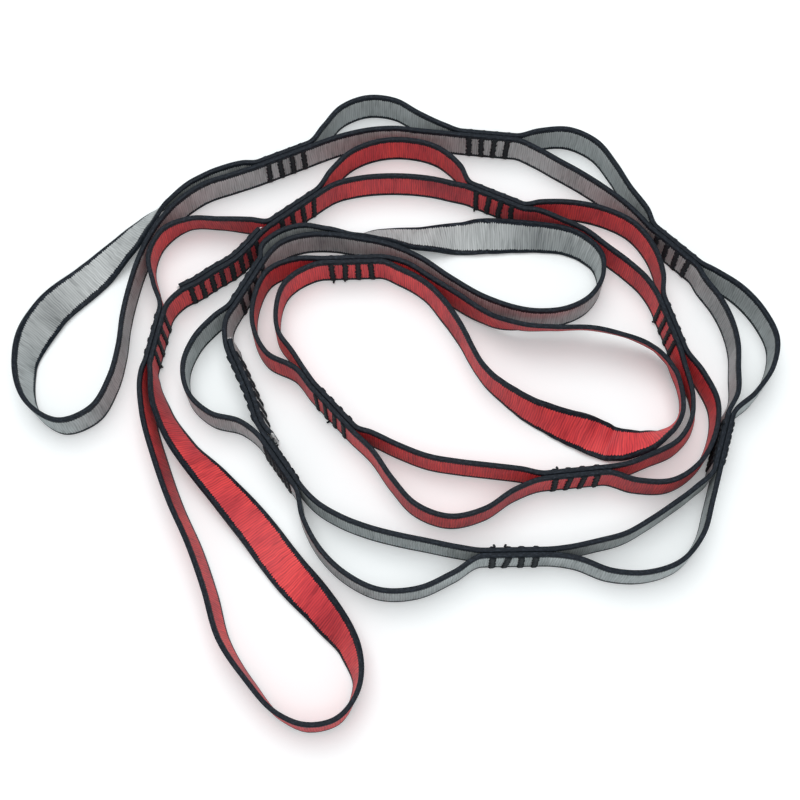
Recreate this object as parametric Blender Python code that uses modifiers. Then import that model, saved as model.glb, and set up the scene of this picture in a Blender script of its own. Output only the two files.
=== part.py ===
"""Pair of hammock extension straps, one grey and one red, laid out on edge on a floor.

Each strap is one length of flat webbing, folded double and sewn across by seven bartacks
into six pockets and two end loops. Each end loop holds a half twist. The two straps lie
nested in each other as a loose clockwise spiral.

The strands stand on their selvedges, so a strand is a ribbon on a smooth plan route with a
roll about that route: upright at a roll of zero, flat at a right angle.
"""

import math
from dataclasses import dataclass

import bmesh
import bpy
from mathutils import Vector

# Webbing
WEBBING_WIDTH = 0.020
WEBBING_THICKNESS = 0.0024
SELVEDGE_ROUND = 0.0006
LAYER_GAP = 0.0003

# Bartacks and their black thread
TACK_LENGTH = 0.024
THREAD_BAR_WIDTH = 0.0024
THREAD_BAR_PROUD = 0.0009
THREAD_LINK_HEIGHT = 0.0013
THREAD_CORE = 0.0006
TACK_LEAD = 0.0030
BARS_PER_TACK = 4

# Overlap splices
SPLICE_BAR_PITCH = 0.0064
SPLICE_END_MARGIN = 0.0040

# Finishes
THREAD_COLOUR = (0.02, 0.02, 0.022, 1)
THREAD_ROUGHNESS = 0.6
WEBBING_ROUGHNESS = 0.85

# The whole arrangement: the length that a share of one stands for, and the ribbon's spacing
LAY_SPAN = 0.400
STATION_PITCH = 0.0020
STATION_BOW = 0.00016
STATION_ROLL = 7.0
FLAT_EASE = 0.07
SELVEDGE_ANGLE = 60.0
SHARP_ANGLE = 40.0

UP = Vector((0, 0, 1))
LAYER_PITCH = WEBBING_THICKNESS + LAYER_GAP
TACK_BAR_SPACING = (TACK_LENGTH - THREAD_BAR_WIDTH) / (BARS_PER_TACK - 1)
TACK_SEAM = -TACK_BAR_SPACING / 2
OUTER_SIDE = 1
INNER_SIDE = -1
ROUTE_STEPS = 24


@dataclass(frozen=True)
class StrapLayout:
    """Where one strap lies, as shares of the lay span and angles in degrees.

    Attributes:
        title: First word of each node's name.
        tack_shares: Place of each bartack's middle, in order from loop A to loop B.
        tack_headings: Direction of travel along the strap at each bartack.
        outer_shares: Way points of each pocket's outer strand as x, y and, where it leans, roll.
        inner_shares: Way points of each pocket's inner strand in the same form.
        loop_a_shares: Way points of loop A as x, y, roll and lift.
        loop_b_shares: Way points of loop B as x, y, roll and lift.
        loop_a_sides: Sides of the first bartack where loop A leaves and returns.
        loop_a_rolls: Rolls of the webbing at loop A's two ends.
        loop_b_rolls: Rolls of the webbing at loop B's two ends.
        splice_pocket: Pocket whose inner strand carries the overlap.
        splice_range_shares: Start and end of the overlap along that strand.
        splice_side: Side of that strand that the overlap lies on.
        colour: Face colour of the webbing.
    """

    title: str
    tack_shares: tuple
    tack_headings: tuple
    outer_shares: tuple
    inner_shares: tuple
    loop_a_shares: tuple
    loop_b_shares: tuple
    loop_a_sides: tuple
    loop_a_rolls: tuple
    loop_b_rolls: tuple
    splice_pocket: int
    splice_range_shares: tuple
    splice_side: int
    colour: tuple


GREY = StrapLayout(
    title="grey",
    tack_shares=(
        (-0.160, 0.348),
        (0.132, 0.380),
        (0.385, 0.200),
        (0.4225, -0.0875),
        (0.148, -0.235),
        (-0.148, -0.115),
        (-0.202, 0.145),
    ),
    tack_headings=(24, -6, -45, -108, -179, 125, 62),
    outer_shares=(
        ((-0.105, 0.395), (-0.080, 0.428), (-0.042, 0.445), (-0.002, 0.440), (0.032, 0.418), (0.068, 0.398)),
        ((0.205, 0.388), (0.248, 0.390), (0.285, 0.370), (0.310, 0.332), (0.328, 0.295), (0.350, 0.258)),
        ((0.435, 0.162), (0.470, 0.135), (0.495, 0.100), (0.508, 0.060), (0.498, 0.018), (0.472, -0.018)),
        ((0.400, -0.168), (0.385, -0.210), (0.355, -0.245), (0.312, -0.260), (0.268, -0.258), (0.225, -0.242)),
        ((0.072, -0.260), (0.028, -0.280), (-0.020, -0.282), (-0.062, -0.262), (-0.095, -0.230), (-0.118, -0.188)),
        ((-0.202, -0.060), (-0.242, -0.048), (-0.272, -0.020), (-0.282, 0.020), (-0.270, 0.060), (-0.245, 0.092)),
    ),
    inner_shares=(
        ((-0.070, 0.382), (-0.035, 0.390), (0.000, 0.392), (0.032, 0.388), (0.068, 0.384)),
        ((0.200, 0.358), (0.230, 0.338), (0.260, 0.318), (0.290, 0.295), (0.318, 0.270), (0.342, 0.242)),
        ((0.420, 0.150), (0.438, 0.120), (0.450, 0.088), (0.455, 0.052), (0.452, 0.018), (0.448, -0.018)),
        ((0.380, -0.150), (0.350, -0.172), (0.320, -0.192), (0.288, -0.210), (0.252, -0.220), (0.215, -0.228)),
        ((0.078, -0.228), (0.040, -0.220), (0.002, -0.212), (-0.035, -0.202), (-0.070, -0.188), (-0.102, -0.168)),
        (
            (-0.178, -0.061, 7),
            (-0.192, -0.022, 8),
            (-0.208, 0.014, 8),
            (-0.2238, 0.051, 8),
            (-0.227, 0.088, 3),
        ),
    ),
    loop_a_shares=(
        (-0.230, 0.315, 0, 0),
        (-0.272, 0.298, 0, 0),
        (-0.308, 0.268, 0, 0),
        (-0.335, 0.228, 0, 0),
        (-0.352, 0.185, 0, 0),
        (-0.362, 0.140, 0, 0),
        (-0.368, 0.095, 0, 0),
        (-0.370, 0.048, 0, 0),
        (-0.378, 0.002, 0, 0),
        (-0.398, -0.040, 0, 0),
        (-0.438, -0.058, 0, 0),
        (-0.478, -0.035, 4, 0),
        (-0.499, 0.033, 20, 0),
        (-0.478, 0.108, 60, 0),
        (-0.427, 0.170, 86, 0),
        (-0.379, 0.222, 116, 0),
        (-0.354, 0.251, 134, 0),
        (-0.326, 0.280, 156, 0),
        (-0.288, 0.306, 174, 0),
        (-0.255, 0.322, 180, 0),
        (-0.218, 0.334, 180, 0),
    ),
    loop_b_shares=(
        (-0.186, 0.198, 180, 0),
        (-0.162, 0.222, 180, 0),
        (-0.132, 0.233, 178, 0),
        (-0.095, 0.232, 168, 0),
        (-0.055, 0.229, 154, 0),
        (-0.022, 0.232, 136, 0),
        (0.032, 0.230, 115, 0),
        (0.090, 0.235, 88, 0),
        (0.130, 0.232, 52, 0),
        (0.165, 0.229, 34, 0),
        (0.202, 0.226, 24, 0),
        (0.240, 0.219, 18, 0),
        (0.264, 0.205, 12, 0),
        (0.280, 0.186, 6, 0),
        (0.283, 0.162, 0, 0),
        (0.262, 0.122, 0, 0),
        (0.232, 0.105, 0, 0),
        (0.192, 0.100, 0, 0),
        (0.122, 0.120, 0, 0),
        (0.072, 0.152, 0, 0),
        (0.032, 0.182, 0, 0),
        (-0.010, 0.202, 0, 0),
        (-0.055, 0.212, 0, 0),
        (-0.095, 0.218, 0, 0),
        (-0.130, 0.216, 0, 0),
        (-0.160, 0.204, 0, 0),
    ),
    loop_a_sides=(INNER_SIDE, OUTER_SIDE),
    loop_a_rolls=(0, 180),
    loop_b_rolls=(180, 0),
    splice_pocket=6,
    splice_range_shares=(0.25, 0.70),
    splice_side=INNER_SIDE,
    colour=(0.30, 0.29, 0.27, 1),
)

RED = StrapLayout(
    title="red",
    tack_shares=(
        (-0.322, 0.065),
        (-0.142, 0.262),
        (0.140, 0.280),
        (0.370, 0.082),
        (0.230, -0.130),
        (-0.082, -0.040),
        (-0.062, 0.178),
    ),
    tack_headings=(80, 38, -25, -74, -174, 132, 2),
    outer_shares=(
        (
            (-0.330, 0.142),
            (-0.340, 0.185),
            (-0.326, 0.225, -3),
            (-0.291, 0.248, -14),
            (-0.248, 0.248, -13),
            (-0.203, 0.244, -6),
        ),
        ((-0.092, 0.322), (-0.065, 0.352), (-0.025, 0.370), (0.018, 0.372), (0.058, 0.360), (0.090, 0.330)),
        ((0.202, 0.270), (0.248, 0.269), (0.292, 0.258), (0.330, 0.236), (0.354, 0.200), (0.364, 0.158)),
        ((0.405, 0.010), (0.420, -0.032), (0.412, -0.078), (0.390, -0.115), (0.352, -0.140), (0.308, -0.140)),
        ((0.152, -0.152), (0.112, -0.178), (0.068, -0.188), (0.025, -0.172), (-0.005, -0.138), (-0.032, -0.098)),
        ((-0.132, 0.015), (-0.172, 0.038), (-0.192, 0.078), (-0.192, 0.122), (-0.175, 0.162), (-0.135, 0.180)),
    ),
    inner_shares=(
        ((-0.295, 0.128), (-0.272, 0.142), (-0.248, 0.160), (-0.222, 0.178), (-0.202, 0.200), (-0.185, 0.222)),
        ((-0.088, 0.298), (-0.055, 0.308), (-0.022, 0.312), (0.012, 0.312), (0.048, 0.308), (0.080, 0.300)),
        ((0.197, 0.257), (0.230, 0.242), (0.262, 0.225), (0.290, 0.200), (0.318, 0.175), (0.342, 0.148)),
        (
            (0.384, 0.014, -3),
            (0.391, -0.012, -9),
            (0.392, -0.034, -11),
            (0.386, -0.058, -8),
            (0.364, -0.087, -3),
            (0.328, -0.105),
            (0.295, -0.118),
        ),
        ((0.160, -0.125), (0.120, -0.120), (0.080, -0.115), (0.042, -0.108), (0.002, -0.092), (-0.032, -0.075)),
        ((-0.119, 0.010), (-0.138, 0.040), (-0.158, 0.070), (-0.162, 0.105), (-0.152, 0.142), (-0.125, 0.165)),
    ),
    loop_a_shares=(
        (-0.335, 0.015, -2, 0),
        (-0.326, -0.048, -12, 0),
        (-0.306, -0.108, -13, 0),
        (-0.283, -0.165, -13, 0),
        (-0.255, -0.222, -13, 0),
        (-0.232, -0.280, -12, 0),
        (-0.212, -0.340, -10, 0),
        (-0.178, -0.390, -6, 0),
        (-0.138, -0.432, -2, 0),
        (-0.108, -0.444, 0, 0),
        (-0.070, -0.436, -2, 0),
        (-0.046, -0.392, -10, 0),
        (-0.056, -0.350, -27, 0),
        (-0.088, -0.305, -50, 0),
        (-0.135, -0.251, -80, 0),
        (-0.183, -0.190, -103, 0),
        (-0.236, -0.131, -124, 0),
        (-0.279, -0.085, -144, 0),
        (-0.311, -0.031, -160, 0),
        (-0.3228, 0.010, -176, 0),
    ),
    loop_b_shares=(
        (0.010, 0.175, 0, 0),
        (0.048, 0.150, 0, 0),
        (0.088, 0.122, -2, 0.002),
        (0.122, 0.097, -8, 0.008),
        (0.165, 0.079, -18, 0.020),
        (0.210, 0.075, -22, 0.022),
        (0.260, 0.075, -24, 0.022),
        (0.307, 0.065, -26, 0.02),
        (0.344, 0.050, -24, 0.013),
        (0.362, 0.033, -20, 0.008),
        (0.372, 0.013, -12, 0.004),
        (0.378, -0.011, -11, 0.001),
        (0.378, -0.031, -8, 0),
        (0.372, -0.049, 0, 0),
        (0.355, -0.065, 20, 0),
        (0.328, -0.077, 48, 0),
        (0.296, -0.078, 76, 0),
        (0.268, -0.070, 104, 0),
        (0.242, -0.062, 130, 0),
        (0.222, -0.056, 145, 0),
        (0.199, -0.046, 156, 0),
        (0.175, -0.034, 164, 0),
        (0.157, -0.021, 170, 0),
        (0.141, -0.008, 175, 0),
        (0.126, 0.006, 178, 0),
        (0.112, 0.025, 180, 0),
        (0.101, 0.046, 179, 0),
        (0.092, 0.066, 178, 0),
        (0.083, 0.083, 176, 0),
        (0.066, 0.110, 174, 0),
        (0.042, 0.140, 178, 0),
        (0.005, 0.164, 180, 0),
    ),
    loop_a_sides=(OUTER_SIDE, INNER_SIDE),
    loop_a_rolls=(0, -180),
    loop_b_rolls=(0, 180),
    splice_pocket=1,
    splice_range_shares=(0.315, 0.82),
    splice_side=OUTER_SIDE,
    colour=(0.74, 0.07, 0.09, 1),
)


@dataclass(frozen=True)
class Tack:
    """A bartack's place on the floor plan.

    Attributes:
        middle: Middle of the bartack in plan.
        along: Unit direction of travel.
        left: Unit normal on the outer side.
    """

    middle: Vector
    along: Vector
    left: Vector

    @classmethod
    def from_shares(cls, shares: tuple, heading: float) -> "Tack":
        """Place a bartack from its shares of the lay span and its heading in degrees."""
        angle = math.radians(heading)
        along = Vector((math.cos(angle), math.sin(angle), 0))
        return cls(Vector((*shares, 0)) * LAY_SPAN, along, UP.cross(along))

    def on_layer(self, side: int, reach: float) -> Vector:
        """Point of one webbing layer, at a signed distance along from the middle."""
        return self.middle + self.along * reach + self.left * (side * LAYER_PITCH / 2)


@dataclass(frozen=True)
class Waypoint:
    """One control point of a strand: its plan place, its roll and its height off the floor."""

    place: Vector
    roll: float = 0.0
    lift: float = 0.0

    @classmethod
    def from_shares(cls, x: float, y: float, roll: float = 0.0, lift: float = 0.0) -> "Waypoint":
        """Place a control point from shares of the lay span and a roll in degrees."""
        return cls(Vector((x, y, 0)) * LAY_SPAN, roll, lift * LAY_SPAN)


@dataclass(frozen=True)
class Station:
    """One cross-section of a strand: its centre and its half-width direction."""

    centre: Vector
    across: Vector


def hermite(start: Vector, end: Vector, leave: Vector, arrive: Vector, part: float) -> Vector:
    """Point of the cubic that joins two points with given end tangents."""
    squared, cubed = part**2, part**3
    return (
        start * (2 * cubed - 3 * squared + 1)
        + leave * (cubed - 2 * squared + part)
        + end * (3 * squared - 2 * cubed)
        + arrive * (cubed - squared)
    )


def smooth_route(waypoints: list) -> list:
    """Join the way points by a smooth curve and return it as short steps.

    The first and the last way point lie inside a bartack, where the strand runs straight.
    """
    places = [point.place for point in waypoints]
    chords = [(b - a).length for a, b in zip(places, places[1:])]
    slopes = [(places[1] - places[0]) / chords[0]]
    for index in range(1, len(places) - 1):
        before, after = chords[index - 1], chords[index]
        incoming = (places[index] - places[index - 1]) / before
        outgoing = (places[index + 1] - places[index]) / after
        slopes.append((incoming * after + outgoing * before) / (before + after))
    slopes.append((places[-1] - places[-2]) / chords[-1])
    slopes[1], slopes[-2] = slopes[0], slopes[-1]
    fine = [waypoints[0]]
    for index, chord in enumerate(chords):
        for step in range(1, ROUTE_STEPS + 1):
            part = step / ROUTE_STEPS
            eased = part * part * (3 - 2 * part)
            now, later = waypoints[index], waypoints[index + 1]
            place = hermite(now.place, later.place, slopes[index] * chord, slopes[index + 1] * chord, part)
            roll = now.roll + (later.roll - now.roll) * (part + eased) / 2
            lift = now.lift + (later.lift - now.lift) * eased
            fine.append(Waypoint(place, roll, lift))
    return fine


def resample(
    fine: list,
    offset: float = 0.0,
    share_range: tuple = (0, 1),
    pitch: float = STATION_PITCH,
) -> list:
    """Cut a route into even stations.

    Args:
        fine: The route in short steps.
        offset: Sideways shift of the whole route, to its left.
        share_range: The stretch of the route to keep, as shares of its length.
        pitch: Wanted distance between stations.

    Returns:
        The stations, each with its centre and its half-width direction.
    """
    travelled = [0.0]
    for now, later in zip(fine, fine[1:]):
        travelled.append(travelled[-1] + (later.place - now.place).length)
    begin, finish = (share * travelled[-1] for share in share_range)
    count = max(2, math.ceil((finish - begin) / pitch))
    stations = []
    index = 0
    for step in range(count + 1):
        target = begin + (finish - begin) * step / count
        while index < len(fine) - 2 and travelled[index + 1] < target:
            index += 1
        now, later = fine[index], fine[index + 1]
        part = (target - travelled[index]) / (travelled[index + 1] - travelled[index])
        ahead = (later.place - now.place).normalized()
        left = UP.cross(ahead)
        roll = math.radians(now.roll + (later.roll - now.roll) * part)
        lift = now.lift + (later.lift - now.lift) * part
        half_width, half_thickness = WEBBING_WIDTH / 2, WEBBING_THICKNESS / 2
        upright = math.hypot(math.cos(roll), FLAT_EASE) / math.hypot(1, FLAT_EASE)
        height = half_width * upright + half_thickness * abs(math.sin(roll)) + lift
        centre = now.place.lerp(later.place, part) + left * offset + UP * height
        across = UP * math.cos(roll) + left * math.sin(roll)
        stations.append(Station(centre, across * half_width))
    return stations


def thinned(stations: list) -> list:
    """Keep the stations that a strand needs to follow its bends and its roll."""
    kept = [0]
    for index in range(2, len(stations)):
        last, now = stations[kept[-1]], stations[index]
        chord = now.centre - last.centre
        between = stations[kept[-1] + 1 : index]
        bow = max((point.centre - last.centre).cross(chord).length / chord.length for point in between)
        rolled = now.across.angle(last.across)
        if bow > STATION_BOW or rolled > math.radians(STATION_ROLL):
            kept.append(index - 1)
    kept.append(len(stations) - 1)
    return [stations[index] for index in kept]


def strand_route(first: Tack, second: Tack, side: int, shares: tuple) -> list:
    """Route of a pocket's strand, from the seam in one bartack to the seam in the next."""
    half_core = THREAD_CORE / 2 + LAYER_GAP
    half_tack = TACK_LENGTH / 2 + TACK_LEAD
    leaving = [Waypoint(first.on_layer(side, reach)) for reach in (TACK_SEAM + half_core, half_tack)]
    arriving = [Waypoint(second.on_layer(side, reach)) for reach in (-half_tack, TACK_SEAM - half_core)]
    return smooth_route(leaving + [Waypoint.from_shares(*share) for share in shares] + arriving)


def loop_route(tack: Tack, sides: tuple, reach: int, rolls: tuple, shares: tuple) -> list:
    """Route of an end loop.

    Args:
        tack: The bartack that closes the loop.
        sides: Sides of the bartack where the loop leaves and returns.
        reach: 1 where the loop lies ahead of the bartack, -1 where it lies behind.
        rolls: Rolls of the webbing at the two ends.
        shares: Way points as x, y, roll and lift.
    """
    half_core = THREAD_CORE / 2 + LAYER_GAP
    half_tack = TACK_LENGTH / 2 + TACK_LEAD
    seam = TACK_SEAM + reach * half_core
    out = [Waypoint(tack.on_layer(sides[0], place), rolls[0]) for place in (seam, reach * half_tack)]
    back = [Waypoint(tack.on_layer(sides[1], place), rolls[1]) for place in (reach * half_tack, seam)]
    return smooth_route(out + [Waypoint.from_shares(*share) for share in shares] + back)


def make_material(name: str, colour: tuple, roughness: float) -> bpy.types.Material:
    """Make a Principled material for one part."""
    material = bpy.data.materials.new(name)
    material.use_nodes = True
    shader = material.node_tree.nodes["Principled BSDF"]
    shader.inputs["Base Color"].default_value = colour
    shader.inputs["Roughness"].default_value = roughness
    shader.inputs["Metallic"].default_value = 0.0
    return material


class StrapBuilder:
    """Builds the pieces of one strap from its layout."""

    def __init__(self, layout: StrapLayout, collection: bpy.types.Collection, parent: bpy.types.Object) -> None:
        self.layout = layout
        self.collection = collection
        self.parent = parent
        self.tacks = [
            Tack.from_shares(shares, heading)
            for shares, heading in zip(layout.tack_shares, layout.tack_headings)
        ]

    def build(self, tack_mesh: bpy.types.Mesh) -> None:
        """Build the loops, pockets, splice and bartacks of the strap."""
        layout, tacks = self.layout, self.tacks
        loop_a = loop_route(tacks[0], layout.loop_a_sides, -1, layout.loop_a_rolls, layout.loop_a_shares)
        self.add_band("loop_a", thinned(resample(loop_a)))
        loop_b = loop_route(tacks[-1], (OUTER_SIDE, INNER_SIDE), 1, layout.loop_b_rolls, layout.loop_b_shares)
        self.add_band("loop_b", thinned(resample(loop_b)))
        for index, (first, second) in enumerate(zip(tacks, tacks[1:])):
            pocket = index + 1
            outer = strand_route(first, second, OUTER_SIDE, layout.outer_shares[index])
            self.add_band(f"pocket_{pocket}_outer_strand", thinned(resample(outer)))
            inner = strand_route(first, second, INNER_SIDE, layout.inner_shares[index])
            self.add_band(f"pocket_{pocket}_inner_strand", thinned(resample(inner)))
            if pocket == layout.splice_pocket:
                self.add_splice(inner)
        for index, tack in enumerate(tacks):
            self.add_tack(f"bartack_{index + 1}_stitching", tack_mesh, tack)

    def add_object(self, name: str, mesh: bpy.types.Mesh, colour: tuple, roughness: float) -> bpy.types.Object:
        """Add a mesh as a named part of the strap."""
        part = bpy.data.objects.new(f"{self.layout.title}_{name}", mesh)
        part.parent = self.parent
        self.collection.objects.link(part)
        if not mesh.materials:
            mesh.materials.append(make_material(part.name, colour, roughness))
        return part

    def add_band(self, name: str, stations: list) -> bpy.types.Object:
        """Add a stretch of webbing: an open ribbon through the stations, given its thickness."""
        cage = bmesh.new()
        rows = [
            (cage.verts.new(station.centre - station.across), cage.verts.new(station.centre + station.across))
            for station in stations
        ]
        for (low, high), (next_low, next_high) in zip(rows, rows[1:]):
            cage.faces.new((low, next_low, next_high, high))
        mesh = bpy.data.meshes.new(name)
        cage.to_mesh(mesh)
        cage.free()
        band = self.add_object(name, mesh, self.layout.colour, WEBBING_ROUGHNESS)
        thickness = band.modifiers.new("Thickness", "SOLIDIFY")
        thickness.thickness = WEBBING_THICKNESS
        thickness.offset = 0
        thickness.use_even_offset = True
        rounding = band.modifiers.new("Selvedges", "BEVEL")
        rounding.width = SELVEDGE_ROUND
        rounding.segments = 1
        rounding.limit_method = "ANGLE"
        rounding.angle_limit = math.radians(SELVEDGE_ANGLE)
        mesh.shade_smooth()
        mesh.set_sharp_from_angle(angle=math.radians(SHARP_ANGLE))
        return band

    def add_splice(self, carrier: list) -> None:
        """Add the overlapping webbing end of the splice and the ladder stitching on both faces.

        Args:
            carrier: Route of the inner strand that the overlap lies against.
        """
        stretch, side = self.layout.splice_range_shares, self.layout.splice_side
        overlap = resample(carrier, side * LAYER_PITCH, stretch)
        self.add_band("splice_overlap", thinned(overlap))
        face_gap = WEBBING_THICKNESS / 2 + LAYER_GAP
        self.add_ladder("splice_overlap_stitching", carrier, side * (LAYER_PITCH + face_gap), side)
        self.add_ladder("splice_strand_stitching", carrier, -side * face_gap, -side)

    def add_ladder(self, name: str, carrier: list, offset: float, outward: int) -> None:
        """Add stitching that runs to and fro across a splice as one thread.

        Args:
            name: Name of the part.
            carrier: Route of the strand.
            offset: Distance of the thread's inner side to the left of that route.
            outward: 1 where the thread stands out to the left, -1 to the right.
        """
        begin, finish = self.layout.splice_range_shares
        length = sum((b.place - a.place).length for a, b in zip(carrier, carrier[1:]))
        margin = SPLICE_END_MARGIN / length
        middle = offset + outward * THREAD_BAR_PROUD / 2
        stations = resample(carrier, middle, (begin + margin, finish - margin), SPLICE_BAR_PITCH / 2)
        link = THREAD_LINK_HEIGHT
        heights = (link, 2 * link, WEBBING_WIDTH - 2 * link, WEBBING_WIDTH - link)
        levels = [2 * height / WEBBING_WIDTH - 1 for height in heights]
        cage = bmesh.new()
        columns = [
            [cage.verts.new(station.centre + station.across * level) for level in levels]
            for station in stations
        ]
        last_bar = (len(columns) - 2) // 2 * 2
        for index in range(last_bar + 1):
            now, later = columns[index], columns[index + 1]
            is_bar, at_top = index % 2 == 0, index % 4 == 1
            for row in range(len(levels) - 1):
                if is_bar or row == (2 if at_top else 0):
                    cage.faces.new((now[row], later[row], later[row + 1], now[row + 1]))
        loose = [vert for vert in cage.verts if not vert.link_faces]
        bmesh.ops.delete(cage, geom=loose, context="VERTS")
        mesh = bpy.data.meshes.new(name)
        cage.to_mesh(mesh)
        cage.free()
        ladder = self.add_object(name, mesh, THREAD_COLOUR, THREAD_ROUGHNESS)
        thickness = ladder.modifiers.new("Thickness", "SOLIDIFY")
        thickness.thickness = THREAD_BAR_PROUD
        thickness.offset = 0

    def add_tack(self, name: str, tack_mesh: bpy.types.Mesh, tack: Tack) -> None:
        """Place a bartack's stitching on its tack."""
        part = self.add_object(name, tack_mesh, THREAD_COLOUR, THREAD_ROUGHNESS)
        part.location = tack.middle
        part.rotation_euler.z = math.atan2(tack.along.y, tack.along.x)


def add_box(cage: bmesh.types.BMesh, low: Vector, high: Vector) -> None:
    """Add a box between two opposite corners."""
    box = bmesh.ops.create_cube(cage, size=1.0)["verts"]
    size = high - low
    for vert in box:
        vert.co = low + Vector((size[i] * (vert.co[i] + 0.5) for i in range(3)))


def tack_face_mesh(name: str, outward: int) -> bpy.types.Object:
    """Make the bars on one face of a bartack, joined end to end as one thread runs."""
    stack = LAYER_PITCH / 2 + WEBBING_THICKNESS / 2 + LAYER_GAP
    low, high = THREAD_LINK_HEIGHT / 2, WEBBING_WIDTH - THREAD_LINK_HEIGHT / 2
    left_edge = -TACK_LENGTH / 2
    corners = []
    for bar in range(BARS_PER_TACK):
        start = left_edge + bar * TACK_BAR_SPACING
        end = start + THREAD_BAR_WIDTH
        joined_at_top = bar % 2 == 0
        is_last = bar == BARS_PER_TACK - 1
        inside = high - THREAD_LINK_HEIGHT if joined_at_top else low + THREAD_LINK_HEIGHT
        outside = high if joined_at_top else low
        corners.append((start, end, inside, outside, is_last))
    outline = bmesh.new()
    path = serpentine_outline(corners, low, high)
    verts = [outline.verts.new((x, outward * stack, z)) for x, z in path]
    face = outline.faces.new(verts)
    raised = bmesh.ops.extrude_face_region(outline, geom=[face])
    for vert in raised["geom"]:
        if isinstance(vert, bmesh.types.BMVert):
            vert.co.y += outward * THREAD_BAR_PROUD
    bmesh.ops.recalc_face_normals(outline, faces=outline.faces)
    mesh = bpy.data.meshes.new(name)
    outline.to_mesh(mesh)
    outline.free()
    return bpy.data.objects.new(name, mesh)


def serpentine_outline(bars: list, low: float, high: float) -> list:
    """Outline of bars joined alternately at their upper and lower ends, going round once.

    Args:
        bars: For each bar its start, its end, the two heights of the link that follows it, and
            whether it is the last.
        low: Height of the bars' lower ends.
        high: Height of the bars' upper ends.
    """
    upper, lower = [], []
    for index, (start, end, inside, outside, is_last) in enumerate(bars):
        arrives_at_top = index > 0 and (index - 1) % 2 == 0
        leaves_at_top = index % 2 == 0
        if index == 0:
            upper.append((start, high))
            lower.append((start, low))
        elif arrives_at_top:
            lower.extend([(start, bars[index - 1][2]), (start, low)])
        else:
            upper.extend([(start, bars[index - 1][2]), (start, high)])
        if is_last:
            upper.append((end, high))
            lower.append((end, low))
        elif leaves_at_top:
            lower.extend([(end, low), (end, inside)])
        else:
            upper.extend([(end, high), (end, inside)])
    return lower + upper[::-1]


def join_into(target: bpy.types.Object, addition: bpy.types.Object) -> None:
    """Join a solid into another by a Boolean union."""
    union = target.modifiers.new("Union", "BOOLEAN")
    union.operation = "UNION"
    union.solver = "EXACT"
    union.object = addition


def make_tack_mesh(cutters: bpy.types.Collection) -> bpy.types.Mesh:
    """Make a bartack's stitching: bars on both faces and the stitches through one of them."""
    core_cage = bmesh.new()
    reach = LAYER_PITCH / 2 + WEBBING_THICKNESS / 2 + LAYER_GAP + THREAD_BAR_PROUD / 2
    inset = THREAD_LINK_HEIGHT
    add_box(
        core_cage,
        Vector((TACK_SEAM - THREAD_CORE / 2, -reach, inset)),
        Vector((TACK_SEAM + THREAD_CORE / 2, reach, WEBBING_WIDTH - inset)),
    )
    mesh = bpy.data.meshes.new("bartack_core")
    core_cage.to_mesh(mesh)
    core_cage.free()
    core = bpy.data.objects.new("bartack_core", mesh)
    faces = [tack_face_mesh("bartack_outer_bars", OUTER_SIDE), tack_face_mesh("bartack_inner_bars", INNER_SIDE)]
    for guide in (core, *faces):
        guide.hide_render = True
        guide.display_type = "WIRE"
        cutters.objects.link(guide)
    for bars in faces:
        join_into(core, bars)
    bpy.context.view_layer.update()
    evaluated = core.evaluated_get(bpy.context.evaluated_depsgraph_get())
    return bpy.data.meshes.new_from_object(evaluated)


def centre_on_floor(parts: bpy.types.Collection, parents: list) -> None:
    """Move the straps together so that the origin is below the middle of their bounds."""
    bpy.context.view_layer.update()
    graph = bpy.context.evaluated_depsgraph_get()
    corners = []
    for part in parts.objects:
        if part.type == "MESH":
            evaluated = part.evaluated_get(graph)
            corners += [evaluated.matrix_world @ vert.co for vert in evaluated.data.vertices]
    for axis in (0, 1):
        values = [corner[axis] for corner in corners]
        middle = (min(values) + max(values)) / 2
        for parent in parents:
            parent.location[axis] = -middle


def main() -> None:
    """Build both straps."""
    for leftover in list(bpy.data.objects):
        bpy.data.objects.remove(leftover, do_unlink=True)
    parts = bpy.data.collections.new("Hammock extension straps")
    cutters = bpy.data.collections.new("Guides")
    bpy.context.scene.collection.children.link(parts)
    bpy.context.scene.collection.children.link(cutters)
    tack_mesh = make_tack_mesh(cutters)
    tack_mesh.materials.append(make_material("bartack_thread", THREAD_COLOUR, THREAD_ROUGHNESS))
    parents = []
    for layout in (GREY, RED):
        parent = bpy.data.objects.new(f"{layout.title}_strap", None)
        parts.objects.link(parent)
        parents.append(parent)
        StrapBuilder(layout, parts, parent).build(tack_mesh)
    centre_on_floor(parts, parents)


if __name__ == "__main__":
    main()
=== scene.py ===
"""Looks of two hammock extension straps, one grey and one red, on a pale floor.

Each strap is one length of flat webbing with black selvedges, folded double and sewn
across by seven bartacks into six pockets and two end loops. It lies on edge. The
webbing is woven here from one modelled slice, which an array repeats and a curve bends
into its lay. The black stitching is laid stitch by stitch, from one modelled stitch.
Every piece stands for the node that its name begins with.
"""

import logging
import math
import random
from contextlib import contextmanager
from dataclasses import dataclass
from enum import Enum
from typing import Callable, Iterator

import bmesh
import bpy
from mathutils import Matrix, Vector


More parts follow.
